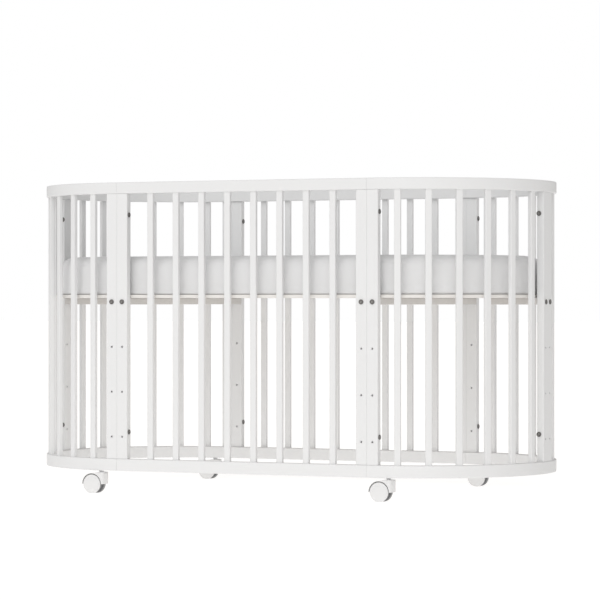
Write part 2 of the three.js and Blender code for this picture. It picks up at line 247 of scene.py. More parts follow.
def metal(name, dark, light, low, high):
    """Turned steel: fine tool marks and uneven gloss."""
    made, tree, shader = new_material(name)
    place = add(tree, "TexCoord").outputs["Object"]
    marks = noise(tree, place, 2600, 3, 0.6)
    cloud = noise(tree, place, 320, 2)
    link(tree, tinted(tree, cloud, dark, light), shader.inputs["Base Color"])
    link(tree, spread(tree, marks, low, high), shader.inputs["Roughness"])
    link(tree, bumped(tree, marks, 0.00001, 0.6), shader.inputs["Normal"])
    shader.inputs["Metallic"].default_value = 1.0
    return made


def moulded_plastic(name, dark, light, low, high):
    """Moulded plastic: a fine spark-eroded texture and faint flow clouds."""
    made, tree, shader = new_material(name)
    place = add(tree, "TexCoord").outputs["Object"]
    texture = noise(tree, place, 1900, 2, 0.6)
    cloud = noise(tree, place, 90, 2)
    link(tree, tinted(tree, cloud, dark, light), shader.inputs["Base Color"])
    link(tree, spread(tree, texture, low, high), shader.inputs["Roughness"])
    link(tree, bumped(tree, texture, 0.00002, 0.5), shader.inputs["Normal"])
    return made


PAINT = painted_wood()
BOARD = primer("primed_board", (0.79, 0.765, 0.73), (0.82, 0.80, 0.77))
# The beams and battens get a darker, warmer primer colour: painted shade for the shade under the
# mattress.
BEAM_PAINTED_SHADE = primer("primed_beam_painted_shade", (0.60, 0.58, 0.56), (0.66, 0.64, 0.62))
COTTON = cotton()
DARK_STEEL = metal("burnished_steel", (0.16, 0.155, 0.15), (0.21, 0.205, 0.20), 0.35, 0.5)
SOCKET_STEEL = metal("socket_steel", (0.30, 0.29, 0.28), (0.36, 0.35, 0.34), 0.3, 0.45)
BRIGHT_STEEL = metal("bright_steel", (0.62, 0.62, 0.63), (0.72, 0.72, 0.73), 0.25, 0.4)
WHITE_PLASTIC = moulded_plastic("white_plastic", (0.775, 0.775, 0.775), (0.79, 0.79, 0.79),
                                0.28, 0.4)
# The tread's grey is partly its own colour and partly painted shade for the dark gap under the hood
# and between the wheels.
TREAD_GREY_AND_SHADE = moulded_plastic("grey_tread_and_painted_shade", (0.24, 0.24, 0.245), (0.28, 0.28, 0.285), 0.5, 0.65)

# ---- meshes ----


def new_piece(name, points, faces, materials, kinds=None, grain=None):
    """A smooth-shaded mesh object. Kinds are the faces' material numbers."""
    mesh = bpy.data.meshes.new(name)
    mesh.from_pydata([tuple(p) for p in points], [], faces)
    for material in materials:
        mesh.materials.append(material)
    if kinds is not None:
        mesh.polygons.foreach_set("material_index", kinds)
    mesh.shade_smooth()
    if grain is not None:
        store_grain(mesh, grain)
    mesh.update()
    piece = bpy.data.objects.new(name, mesh)
    bpy.context.scene.collection.objects.link(piece)
    return piece


def store_grain(mesh, vectors):
    """The grain attribute: how far along the wood's fibres a point is, then across them."""
    attribute = mesh.attributes.get("grain")
    if attribute is None:
        attribute = mesh.attributes.new("grain", "FLOAT_VECTOR", "POINT")
    attribute.data.foreach_set("vector", np.array(vectors, np.float32).ravel())


def evaluated_mesh(piece):
    """A copy of the piece's mesh with its modifiers applied."""
    bpy.context.view_layer.update()
    graph = bpy.context.evaluated_depsgraph_get()
    return bpy.data.meshes.new_from_object(piece.evaluated_get(graph))


def flat_faces_stay_flat(piece):
    """Large faces keep their own normals, so that only the rounded edges shade softly."""
    weights = piece.modifiers.new("weighted_normals", "WEIGHTED_NORMAL")
    weights.weight = 100
    weights.keep_sharp = True


def settle(piece, body, slot, *nodes):
    """Says what the piece rides on and hides the parts that it stands for. The slot is not used."""
    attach(piece, body)
    if nodes:
        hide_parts(*nodes)


def placed_copy(source, name, matrix):
    """Another piece with the source's mesh, placed by the matrix."""
    mesh = source.data.copy()
    mesh.transform(matrix)
    piece = bpy.data.objects.new(name, mesh)
    bpy.context.scene.collection.objects.link(piece)
    return piece


def rounded_section(low, high, radii, inset):
    """A rectangle with round corners, anticlockwise from its lowest corner."""
    steps = 5
    u0, v0 = low[0] + inset, low[1] + inset
    u1, v1 = high[0] - inset, high[1] - inset
    points = []
    corners = ((u0, v0, 1, 1), (u1, v0, -1, 1), (u1, v1, -1, -1), (u0, v1, 1, -1))
    for number, ((u, v, right, up), radius) in enumerate(zip(corners, radii)):
        radius = max(radius - inset, 0.0001)
        for step in range(steps + 1):
            angle = math.pi + (number + step / steps) * QUARTER
            points.append((u + right * radius + radius * math.cos(angle),
                           v + up * radius + radius * math.sin(angle)))
    return points


def loft(rings, hollow=False):
    """Points and faces of a solid through rings. A hollow one joins its last ring to its first."""
    count = len(rings[0])
    points = [p for ring in rings for p in ring]
    faces = []
    for i in range(len(rings) if hollow else len(rings) - 1):
        here, there = i * count, (i + 1) % len(rings) * count
        for j in range(count):
            k = (j + 1) % count
            faces.append([here + j, here + k, there + k, there + j])
    if not hollow:
        last = (len(rings) - 1) * count
        faces.append(list(range(count))[::-1])
        faces.append(list(range(last, last + count)))
    return points, faces


def repeated(rings, matrices, hollow=False):
    """Points and faces of several copies of one solid, placed by the matrices."""
    points, faces = [], []
    more, their_faces = loft(rings, hollow)
    for matrix in matrices:
        faces += [[len(points) + v for v in face] for face in their_faces]
        points += [matrix @ p for p in more]
    return points, faces


def eased_end(ease):
    """How far the outline draws in, and how far from the end, along a quarter-round edge."""
    return [(ease * (1 - math.sin(a)), ease * (1 - math.cos(a)))
            for a in (step * QUARTER / 3 for step in range(4))]


def bar(name, stations, low, high, radii, ease, material=PAINT):
    """A rounded bar along stations of (place, u, v, distance), with eased ends."""
    ends = eased_end(ease)
    first, last = stations[0], stations[-1]
    route = [(first, inset, offset) for inset, offset in ends]
    route += [(station, 0.0, 0.0) for station in stations[1:-1]]
    route += [(last, inset, -offset) for inset, offset in reversed(ends)]
    rings, grain = [], []
    for (place, u, v, distance), inset, offset in route:
        section = rounded_section(low, high, radii, inset)
        origin = place + u.cross(v) * offset
        rings.append([origin + u * a + v * b for a, b in section])
        grain += [(distance + offset, a, b) for a, b in section]
    points, faces = loft(rings)
    piece = new_piece(name, points, faces, [material], grain=grain)
    flat_faces_stay_flat(piece)
    return piece


def straight_stations(start, end, u, v, distance=0.0):
    """The two stations of a straight bar whose section lies along u and v."""
    start, end = Vector(start), Vector(end)
    u, v = Vector(u), Vector(v)
    return [(start, u, v, distance), (end, u, v, distance + (end - start).length)]


def arc_stations(centre, radius, start, sweep, steps, distance):
    """Stations round a vertical axis, with u outwards and v upwards, towards lower angles."""
    stations = []
    for step in range(steps + 1):
        angle = start - sweep * step / steps
        away = Vector((math.cos(angle), math.sin(angle), 0))
        stations.append((Vector(centre) + away * radius, away, Vector((0, 0, 1)),
                         distance + radius * sweep * step / steps))
    return stations


def turned(centre, turn):
    """A turn about the vertical, then a move to the centre."""
    return Matrix.Translation(centre) @ Matrix.Rotation(turn, 4, "Z")


# ---- rails ----

RAIL_EDGE = 0.002
RAIL_EASE = 0.00025  # at the seams between panels
RAIL_CENTRE = (RAIL_OUTER + RAIL_INNER) / 2
RAIL_STEPS = 56  # along a quarter circle

# Each curved panel: its centre's side, the angle that its plan starts from, and its number.
CURVED_PANELS = {
    "front_right": (1, -QUARTER, 0),
    "back_right": (1, 0.0, 1),
    "back_left": (-1, QUARTER, 2),
    "front_left": (-1, 2 * QUARTER, 3),
}


def rail_section(base, top):
    """The lowest and highest corners of a rail's section, and its corners' radii."""
    half = (RAIL_OUTER - RAIL_INNER) / 2
    return (-half, base), (half, top), [RAIL_EDGE] * 4


def straight_rail(name, side, base, top, node):
    """The front rail with side -1, or the back one with side 1."""
    low, high, radii = rail_section(base, top)
    end = HALF_STRAIGHT - HALF_GAP
    stations = straight_stations((side * -end, side * RAIL_CENTRE, 0),
                                 (side * end, side * RAIL_CENTRE, 0),
                                 (0, side, 0), (0, 0, 1), side * STRAIGHT_RAIL_GRAIN)
    settle(bar(name, stations, low, high, radii, RAIL_EASE), "frame", "painted_wood", node)


def curved_rail(name, panel, base, top, node):
    """A quarter-circle rail, from its panel's last end round to its first."""
    side, start, number = CURVED_PANELS[panel]
    low, high, radii = rail_section(base, top)
    trim = HALF_GAP / END_RADIUS
    stations = arc_stations((side * HALF_STRAIGHT, 0, 0), RAIL_CENTRE, start + QUARTER - trim,
                            QUARTER - 2 * trim, RAIL_STEPS, CURVED_RAIL_GRAIN + number)
    settle(bar(name, stations, low, high, radii, RAIL_EASE), "frame", "painted_wood", node)


# Each rail: its name, its node's name, and its heights.
RAILS = (
    ("upper_rail", "upper_rail", UPPER_RAIL_BASE, FRAME_TOP),
    ("lower_rail", "lower_rail_with_slats", FRAME_BASE, LOWER_RAIL_TOP),
)
for kind, node_kind, rail_base, rail_top in RAILS:
    for panel, side in (("front", -1), ("back", 1)):
        straight_rail(f"{panel}_{kind}_bar", side, rail_base, rail_top, f"{panel}_{node_kind}")
    for panel in CURVED_PANELS:
        curved_rail(f"{panel}_{kind}_bar", panel, rail_base, rail_top, f"{panel}_{node_kind}")

# ---- slats ----

SLAT_EDGE = 0.0025
SLAT_EASE = 0.001
SLAT_OUTER = END_RADIUS - SLAT_SET_BACK


def slat(name, matrix, grain):
    """A slat whose outer face looks along -Y before the matrix turns it."""
    stations = straight_stations((0, 0, LOWER_RAIL_TOP - SLAT_TENON),
                                 (0, 0, UPPER_RAIL_BASE + SLAT_TENON),
                                 (1, 0, 0), (0, 1, 0), grain)
    half = SLAT_WIDTH / 2
    piece = bar(name, stations, (-half, -SLAT_OUTER), (half, SLAT_DEPTH - SLAT_OUTER),
                [SLAT_EDGE] * 4, SLAT_EASE)
    piece.data.transform(matrix)
    settle(piece, "frame", "painted_wood")


clear = 2 * (HALF_STRAIGHT - STILE_WIDTH) - STRAIGHT_SLATS * SLAT_WIDTH
straight_pitch = clear / (STRAIGHT_SLATS + 1) + SLAT_WIDTH
for panel, turn in (("front", 0.0), ("back", 2 * QUARTER)):
    for i in range(STRAIGHT_SLATS):
        x = (i - (STRAIGHT_SLATS - 1) / 2) * straight_pitch
        place = Matrix.Rotation(turn, 4, "Z") @ Matrix.Translation((x, 0, 0))
        slat(f"{panel}_slat_{i + 1}", place, STRAIGHT_SLAT_GRAIN + i)
for panel, (side, start, number) in CURVED_PANELS.items():
    for i in range(1, CURVED_SLATS + 1):
        angle = start + QUARTER + i * QUARTER / (CURVED_SLATS + 1)
        place = turned((side * HALF_STRAIGHT, 0, 0), angle)
        slat(f"{panel}_slat_{i}", place, CURVED_SLAT_GRAIN + 10 * number + i)

# ---- posts ----

STILE_EDGE = 0.002
STILE_EASE = 0.0004
SEAM_EDGE = 0.0002  # of the edges at the seam between two stiles
HOLE_FLARE = 0.0005
THREAD_EDGE = 0.0004  # round the end of a bolt's shank
HEX_KEY = 0.0046  # across the flats
SLEEVE_BORE = 0.0021
SLEEVE_EDGE = 0.0003
SLEEVE_SUNK = 0.0005  # below the stile's faces
NUT_HEIGHT = 0.0022

# Each post: its place, its turn in quarters, the side of it that its edge bolts' heads are on,
# and how far behind its outer face those bolts are.
POSTS = {
    "front_left_post": (-HALF_STRAIGHT, -END_RADIUS, 0, 1, EDGE_BOLT_DEPTH),
    "front_right_post": (HALF_STRAIGHT, -END_RADIUS, 0, 1, EDGE_BOLT_DEPTH),
    "right_post": (HALF_STRAIGHT + END_RADIUS, 0, 1, -1, END_BOLT_DEPTH),
    "back_right_post": (HALF_STRAIGHT, END_RADIUS, 2, -1, EDGE_BOLT_DEPTH),
    "back_left_post": (-HALF_STRAIGHT, END_RADIUS, 2, -1, EDGE_BOLT_DEPTH),
    "left_post": (-HALF_STRAIGHT - END_RADIUS, 0, 3, 1, END_BOLT_DEPTH),
}
HALVES = (("a", -1), ("b", 1))  # a post's two stiles, and their sides of the seam


def circle(radius, y, points=ROUND, across_flats=None):
    """A ring about the Y axis, or a hexagon on the same points."""
    ring = []
    for i in range(points):
        angle = 2 * math.pi * i / points
        reach = radius
        if across_flats is not None:
            corner = (angle + math.pi / 6) % (math.pi / 3) - math.pi / 6
            reach = across_flats / 2 / math.cos(corner)
        ring.append(Vector((reach * math.cos(angle), y, reach * math.sin(angle))))
    return ring


def drill_bits(side, depth):
    """The cutters for one stile: four flared holes through it and two from edge to edge."""
    out = 0.002  # how far a cutter runs past the wood
    rings = [circle(HOLE_RADIUS + HOLE_FLARE + out, STILE_DEPTH + out),
             circle(HOLE_RADIUS, STILE_DEPTH - HOLE_FLARE),
             circle(HOLE_RADIUS, HOLE_FLARE),
             circle(HOLE_RADIUS + HOLE_FLARE + out, -out)]
    across = [circle(HOLE_RADIUS, STILE_WIDTH + out), circle(HOLE_RADIUS, -out)]
    holes = [Matrix.Translation((side * BOLT_OFFSET, 0, BASE_BOLT_HEIGHT - i * BASE_STEP))
             for i in range(BASE_HEIGHTS)]
    points, faces = repeated(rings, holes)
    bores = [turned((0, depth, height), side * -QUARTER) for height in EDGE_BOLT_HEIGHTS]
    more, their_faces = repeated(across, bores)
    faces += [[len(points) + v for v in face] for face in their_faces]
    return new_piece(f"drill_bits_{side}", points + more, faces, [PAINT])


def drilled_stile(side, depth):
    """A stile beside the seam, on the -X side or the +X side, with its outer face at y = 0."""
    seam, edge = side * HALF_GAP, side * STILE_WIDTH
    radii = [SEAM_EDGE, STILE_EDGE, STILE_EDGE, SEAM_EDGE]
    if side < 0:
        radii = [STILE_EDGE, SEAM_EDGE, SEAM_EDGE, STILE_EDGE]
    stations = straight_stations((0, 0, STILE_BASE), (0, 0, STILE_TOP), (1, 0, 0), (0, 1, 0))
    piece = bar("stile", stations, (min(seam, edge), 0), (max(seam, edge), STILE_DEPTH),
                radii, STILE_EASE)
    piece.modifiers.clear()
    bits = drill_bits(side, depth)
    cut = piece.modifiers.new("holes", "BOOLEAN")
    cut.operation = "DIFFERENCE"
    cut.solver = "EXACT"
    cut.object = bits
    piece.data = evaluated_mesh(piece)
    piece.modifiers.clear()
    bpy.data.objects.remove(bits)
    piece.data.shade_smooth()
    piece.data.set_sharp_from_angle(angle=SHARP_HOLE)
    store_grain(piece.data, [(v.co.z, v.co.x, v.co.y) for v in piece.data.vertices])
    return piece


def socket_bolt(length):
    """A bolt whose shank runs along +Y from its head, which stands on y = 0."""
    shank, head, top = SHANK_RADIUS, HEAD_RADIUS, -HEAD_HEIGHT
    seat, round_off = 0.0003, 0.0009  # the roundings of the head's lower and upper edges
    rings = [circle(shank - THREAD_EDGE, length), circle(shank, length - THREAD_EDGE),
             circle(shank, 0), circle(head - seat, 0), circle(head, -seat)]
    for step in range(5):
        angle = step * QUARTER / 4
        rings.append(circle(head - round_off + round_off * math.cos(angle),
                            top + round_off - round_off * math.sin(angle)))
    rim = len(rings)
    rings += [circle(HEX_KEY / 2 + 0.0009, top), circle(HEX_KEY / 2 + 0.0006, top + 0.0002),
              circle(0, top + 0.0004, across_flats=HEX_KEY),
              circle(0, top + 0.0015, across_flats=HEX_KEY)]
    points, faces = loft(rings)
    inner = (rim + 1) * ROUND
    kinds = [1 if min(face) >= inner else 0 for face in faces]
    piece = new_piece("socket_bolt", points, faces, [DARK_STEEL, SOCKET_STEEL], kinds)
    piece.data.set_sharp_from_angle(angle=SHARP_HOLE)
    return piece


def sleeves():
    """The threaded sleeves in one stile's spare holes, with their outer ends just below y = 0."""
    outer, near, far = HOLE_RADIUS - 0.0001, SLEEVE_SUNK, STILE_DEPTH - SLEEVE_SUNK
    rings = [circle(outer, far), circle(outer, near), circle(SLEEVE_BORE + SLEEVE_EDGE, near),
             circle(SLEEVE_BORE, near + SLEEVE_EDGE), circle(SLEEVE_BORE, far - SLEEVE_EDGE),
             circle(SLEEVE_BORE + SLEEVE_EDGE, far)]
    places = [Matrix.Translation((0, 0, BASE_BOLT_HEIGHT - i * BASE_STEP))
              for i in range(1, BASE_HEIGHTS)]
    points, faces = repeated(rings, places, hollow=True)
    piece = new_piece("sleeves", points, faces, [BRIGHT_STEEL])
    piece.data.set_sharp_from_angle(angle=SHARP_HOLE)
    return piece


def dome_cap():
    """The round nut on an edge bolt's far end, standing on y = 0 towards -Y."""
    radius, edge, side, steps = HEAD_RADIUS - 0.0006, 0.0002, 0.0006, 7
    rings = [circle(radius - edge, 0), circle(radius, -edge)]
    for step in range(steps):
        angle = step * QUARTER / steps
        crown = 0.25 * math.cos(angle) + 0.75 * (1 - (step / steps) ** 2)
        rings.append(circle(radius * crown, -side - (NUT_HEIGHT - side) * math.sin(angle)))
    rings.append(circle(0.0004, -NUT_HEIGHT))
    points, faces = loft(rings)
    return new_piece("dome_cap", points, faces, [BRIGHT_STEEL])


stiles = {(half, depth): drilled_stile(side, depth)
          for half, side in HALVES for depth in (EDGE_BOLT_DEPTH, END_BOLT_DEPTH)}
base_bolt = socket_bolt(STILE_DEPTH)
edge_bolt = socket_bolt(2 * STILE_WIDTH)
cap = dome_cap()
sleeve = sleeves()
for post, (x, y, turns, head_side, depth) in POSTS.items():
    place = turned((x, y, 0), turns * QUARTER)
    for half, side in HALVES:
        piece = placed_copy(stiles[half, depth], f"{post}_stile_{half}_wood", place)
        flat_faces_stay_flat(piece)
        settle(piece, "frame", "painted_wood", f"{post}_stile_{half}")
        bolt_place = place @ Matrix.Translation((side * BOLT_OFFSET, 0, BASE_BOLT_HEIGHT))
        piece = placed_copy(base_bolt, f"{post}_base_bolt_{half}", bolt_place)
        settle(piece, "frame", "bolt_steel", f"{post}_bolt_{half}")
        in_holes = place @ Matrix.Translation((side * BOLT_OFFSET, 0, 0))
        settle(placed_copy(sleeve, f"{post}_sleeves_{half}", in_holes), "frame", "bolt_steel")
    for number, height in enumerate(EDGE_BOLT_HEIGHTS):
        ends = (("edge_bolt", edge_bolt, head_side), ("cap_nut", cap, -head_side))
        for kind, source, side in ends:
            middle = Matrix.Translation((side * STILE_WIDTH, depth, height))
            sideways = Matrix.Rotation(side * QUARTER, 4, "Z")
            piece = placed_copy(source, f"{post}_{kind}_{number + 1}", place @ middle @ sideways)
            settle(piece, "frame", "bolt_steel")
for source in (*stiles.values(), base_bolt, edge_bolt, cap, sleeve):
    bpy.data.objects.remove(source)

# ---- mattress base ----

BASE_EDGE = 0.002
BOARD_EDGE = 0.0014
BOARD_STEPS = 72  # round a half-round board


def box_bar(name, node, along, slot, material, edge, grain):
    """A rounded bar that fills a box-shaped node of the base, with its grain along one axis."""
    low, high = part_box(node)
    across = (along + 1) % 3, (along + 2) % 3
    axes = Matrix.Identity(3)
    start, end = Vector((0, 0, 0)), Vector((0, 0, 0))
    start[along], end[along] = low[along], high[along]
    stations = straight_stations(start, end, axes[across[0]], axes[across[1]], grain)
    piece = bar(name, stations, [low[i] for i in across], [high[i] for i in across],
                [edge] * 4, edge, material)
    settle(piece, "mattress_base", slot, node)


def half_round_board(name, node, side):
    """A half-round board, its outline a semicircle with eased edges."""
    low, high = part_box(node)
    radius = (high.y - low.y) / 2
    seam = low.x if side > 0 else high.x

    def outline(inset, z):
        """The board's outline at one level, drawn in by the inset."""
        reach = radius - inset
        ring = []
        for step in range(BOARD_STEPS + 1):
            angle = -QUARTER + math.pi * step / BOARD_STEPS
            ring.append(Vector((seam + side * (inset + (reach - inset) * math.cos(angle)),
                                side * reach * math.sin(angle), z)))
        return ring

    rings = [outline(inset, low.z + rise) for inset, rise in eased_end(BOARD_EDGE)]
    rings += [outline(inset, high.z - drop) for inset, drop in reversed(eased_end(BOARD_EDGE))]
    points, faces = loft(rings)
    piece = new_piece(name, points, faces, [BOARD])
    piece.data.set_sharp_from_angle(angle=SHARP_BOARD)
    flat_faces_stay_flat(piece)
    settle(piece, "mattress_base", "base_board", node)


box_bar("middle_board", "middle_base_board", 0, "base_board", BOARD, BOARD_EDGE, 0)
for name, side in (("left", -1), ("right", 1)):
    box_bar(f"{name}_cross_beam_bar", f"{name}_cross_beam", 1, "painted_wood", BEAM_PAINTED_SHADE, BASE_EDGE,
            BEAM_GRAIN + side)
    box_bar(f"{name}_end_batten_bar", f"{name}_end_batten", 0, "painted_wood", BEAM_PAINTED_SHADE, BASE_EDGE,
            BATTEN_GRAIN + side)
    half_round_board(f"{name}_round_board", f"{name}_base_board", side)

# ---- mattress ----

mattress_low, mattress_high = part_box("mattress")
COVER_RADIUS = mattress_high.y
COVER_START_GAP = 0.001
COVER_SWELL = 0.0065  # how much wider the cover starts at half height
COVER_LOW_EDGE = 0.007  # the rounding of its lower edge
COVER_HIGH_EDGE = 0.02
COVER_HALF_STEPS = 160  # round each half circle
COVER_HEM = 0.03  # how far the cloth is turned in under the mattress
COVER_VOXEL = 0.008
COVER_FRAMES = 20
COVER_CAP = 0.012  # the most that the cloth may move
COVER_GIVE = 0.003  # over which it flattens against the slats and the posts
COVER_TOP_RISE = 0.005
COVER_CLEARANCE = 0.0008
COVER_BULGE = 0.0026  # how much further it comes out between two slats
BULGE_RUN = 0.022  # from a slat's side to the full bulge
POST_CLEARANCE = 0.002  # beside a post
POST_RUN = 0.02
SLAT_INNER = SLAT_OUTER - SLAT_DEPTH
POST_INNER = END_RADIUS - STILE_DEPTH


def cover_start():
    """The stuffed shape that the cover's cloth starts from: an oval with swollen sides."""
    base, top = mattress_low.z, mattress_high.z
    low_edge, high_edge = COVER_LOW_EDGE, COVER_HIGH_EDGE
    profile = []
    for step in range(7):
        angle = step * QUARTER / 6
        profile.append((low_edge * (1 - math.sin(angle)), base + low_edge * (1 - math.cos(angle))))
    for step in range(1, 8):
        share = step / 8
        profile.append((0, base + low_edge + share * (top - high_edge - base - low_edge)))
    for step in range(9):
        angle = step * QUARTER / 8
        profile.append((high_edge * (1 - math.cos(angle)), top - high_edge * (1 - math.sin(angle))))
    rings = []
    for inset, z in profile:
        swell = COVER_SWELL * math.sin(math.pi * (z - base) / (top - base))
        radius = COVER_RADIUS - COVER_START_GAP - inset + swell
        ring = []
        for side in (1, -1):
            for i in range(COVER_HALF_STEPS + 1):
                angle = math.pi * i / COVER_HALF_STEPS - QUARTER
                x = side * (HALF_STRAIGHT + radius * math.cos(angle))
                ring.append(Vector((x, side * radius * math.sin(angle), z)))
        rings.append(ring)
    points, faces = loft(rings)
    return new_piece("mattress_cover", points, faces, [COTTON])


def outwards(points):
    """Each point's nearest X on the oval's middle line, its way out from there, and how far."""
    along = np.clip(points[:, 0], -HALF_STRAIGHT, HALF_STRAIGHT)
    across = points[:, :2] - np.stack([along, np.zeros(len(along))], 1)
    reach = np.linalg.norm(across, axis=1)
    return along, across / np.maximum(reach, 1e-6)[:, None], reach


def eased(share):
    """A share from 0 to 1 that starts and ends gently."""
    return share * share * (3 - 2 * share)


def room_for_cover(points):
    """How far out the cover may go: less behind a post or a slat, more in the gaps."""
    along, way, _ = outwards(points)
    curve = np.abs(points[:, 0]) >= HALF_STRAIGHT
    angle = np.arctan2(way[:, 1], np.abs(way[:, 0]))
    step = QUARTER / (CURVED_SLATS + 1)
    nearest = np.round(angle / step)
    from_slat = np.where(curve, np.abs(angle - nearest * step) * END_RADIUS, 0.0)
    number = np.round(along / straight_pitch + (STRAIGHT_SLATS - 1) / 2)
    number = np.clip(number, 0, STRAIGHT_SLATS - 1)
    place = (number - (STRAIGHT_SLATS - 1) / 2) * straight_pitch
    from_slat = np.where(curve, from_slat, np.abs(along - place))
    from_post = np.where(curve, np.abs(angle % QUARTER), 1.0)
    from_post = np.minimum(from_post, np.where(curve, QUARTER - angle % QUARTER, 1.0)) * END_RADIUS
    from_post = np.where(curve, from_post, HALF_STRAIGHT - np.abs(along))
    gap = np.clip((from_slat - SLAT_WIDTH / 2) / BULGE_RUN, 0, 1)
    at_slats = SLAT_INNER - COVER_CLEARANCE + COVER_BULGE * eased(gap)
    beside = np.clip((from_post - STILE_WIDTH - POST_CLEARANCE) / POST_RUN, 0, 1)
    at_posts = POST_INNER - COVER_CLEARANCE
    return at_posts + (at_slats - at_posts) * eased(beside)


def weigh(piece, name, weights):
    """A vertex group with those weights."""
    group = piece.vertex_groups.new(name=name)
    for index, weight in enumerate(weights):
        if weight > 0:
            group.add([index], float(weight), "REPLACE")
    return name


def stuffed(piece, start):
    """The cloth's shape: slack fabric over a tight filling, held under the mattress by its hem."""
    base, top = mattress_low.z, mattress_high.z
    height = (start[:, 2] - base) / (top - base)
    _, _, reach = outwards(start)
    at_side = reach > COVER_RADIUS - COVER_HEM
    hem = (height < 0.03) | ((height < 0.5) & ~at_side)
    # the slack fades out at 0.6 of the height, and is less in the middle of the long sides
    low = np.clip((0.6 - height) / 0.5, 0, 1)
    towards_ends = np.clip((np.abs(start[:, 0]) - 0.2) / 0.25, 0.35, 1)
    slack = low * at_side * towards_ends
    cloth = piece.modifiers.new("cloth", "CLOTH")
    settings = cloth.settings
    settings.quality = 5
    settings.mass = 0.3
    settings.tension_stiffness = 25
    settings.compression_stiffness = 8
    settings.shear_stiffness = 8
    settings.bending_stiffness = 0.4
    settings.use_pressure = True
    settings.uniform_pressure_force = 4
    settings.vertex_group_mass = weigh(piece, "hem", hem)
    settings.vertex_group_shrink = weigh(piece, "slack", slack)
    settings.shrink_min = 0
    settings.shrink_max = -0.15
    settings.effector_weights.gravity = 0
    cloth.point_cache.frame_start = 1
    cloth.point_cache.frame_end = COVER_FRAMES
    for number in range(1, COVER_FRAMES + 1):
        bpy.context.scene.frame_set(number)
    moved = mesh_points(evaluated_mesh(piece))
    piece.modifiers.clear()
    bpy.context.scene.frame_set(1)
    piece.vertex_groups.clear()
    return moved


def mesh_points(mesh):
    """The mesh's points as rows of three numbers."""
    points = np.empty(len(mesh.vertices) * 3, np.float32)
    mesh.vertices.foreach_get("co", points)
    return points.reshape(-1, 3).astype(float)


def mattress_cover():
    """The mattress in its cotton cover, kept clear of the slats, the posts and the base."""
    piece = cover_start()
    remesh = piece.modifiers.new("remesh", "REMESH")
    remesh.mode = "VOXEL"
    remesh.voxel_size = COVER_VOXEL
    remesh.use_smooth_shade = True
    piece.data = evaluated_mesh(piece)
    piece.modifiers.clear()
    start = mesh_points(piece.data)
    moved = stuffed(piece, start)
    shift = moved - start
    length = np.linalg.norm(shift, axis=1)
    capped = COVER_CAP * np.tanh(length / COVER_CAP)
    moved = start + shift * (capped / np.maximum(length, 1e-6))[:, None]
    _, way, reach = outwards(moved)
    room, give = room_for_cover(moved), COVER_GIVE
    held = np.where(reach > room - give, room - give * np.exp(-(reach - room + give) / give), reach)
    moved[:, :2] += way * (held - reach)[:, None]
    rise = np.maximum(moved[:, 2] - mattress_high.z, 0)
    moved[:, 2] += COVER_TOP_RISE * np.tanh(rise / COVER_TOP_RISE) - rise
    moved[:, 2] = np.maximum(moved[:, 2], mattress_low.z)
    piece.data.vertices.foreach_set("co", moved.astype(np.float32).ravel())
    piece.data.shade_smooth()
    piece.data.update()
    smooth = piece.modifiers.new("smooth", "SUBSURF")
    smooth.levels = smooth.render_levels = 1
    settle(piece, "mattress_base", "mattress_cover", "mattress")


mattress_cover()

# ---- casters ----

FENDER_WALL = 0.0012
HOOD_EDGE = 0.0006
HOOD_FLAT_END = -0.0065  # where the hood's flat top ends, from the stem
NOSE_ROUND = 0.0085  # of the hood's front corners, in plan
NOSE_TOP_ROUND = 0.0045
WEB_HALF = 0.007  # half the thickness of the hood between the wheels
BOSS_RADIUS = 0.006
PIN_RADIUS = 0.004
DISC_WIDTH = 0.0034  # how much of a wheel's width its outer disc takes


def prism(name, outline, place, low, high):
    """A solid between two levels. Place turns an outline's point and a level into a position."""
    rings = [[Vector(place(a, b, level)) for a, b in outline] for level in (low, high)]
    points, faces = loft(rings)
    return new_piece(name, points, faces, [WHITE_PLASTIC])


def round_bar(name, radius, centre, low, high, count):
    """A cylinder along Y about a centre in X and Z."""
    shift = Vector((centre[0], 0, centre[1]))
    points, faces = loft([[p + shift for p in circle(radius, y, count)] for y in (high, low)])
    return new_piece(name, points, faces, [WHITE_PLASTIC])


def combine(piece, others, operation):
    """Cuts the others out of the piece, or joins them to it, and removes them."""
    for other in others:
        change = piece.modifiers.new("combine", "BOOLEAN")
        change.operation = operation
        change.solver = "EXACT"
        change.object = other
        piece.data = evaluated_mesh(piece)
        piece.modifiers.clear()
        bpy.data.objects.remove(other)


def arc_points(centre, radius, start, end, steps):
    """Points along an arc."""
    angles = [start + (end - start) * i / steps for i in range(steps + 1)]
    return [(centre[0] + radius * math.cos(a), centre[1] + radius * math.sin(a)) for a in angles]


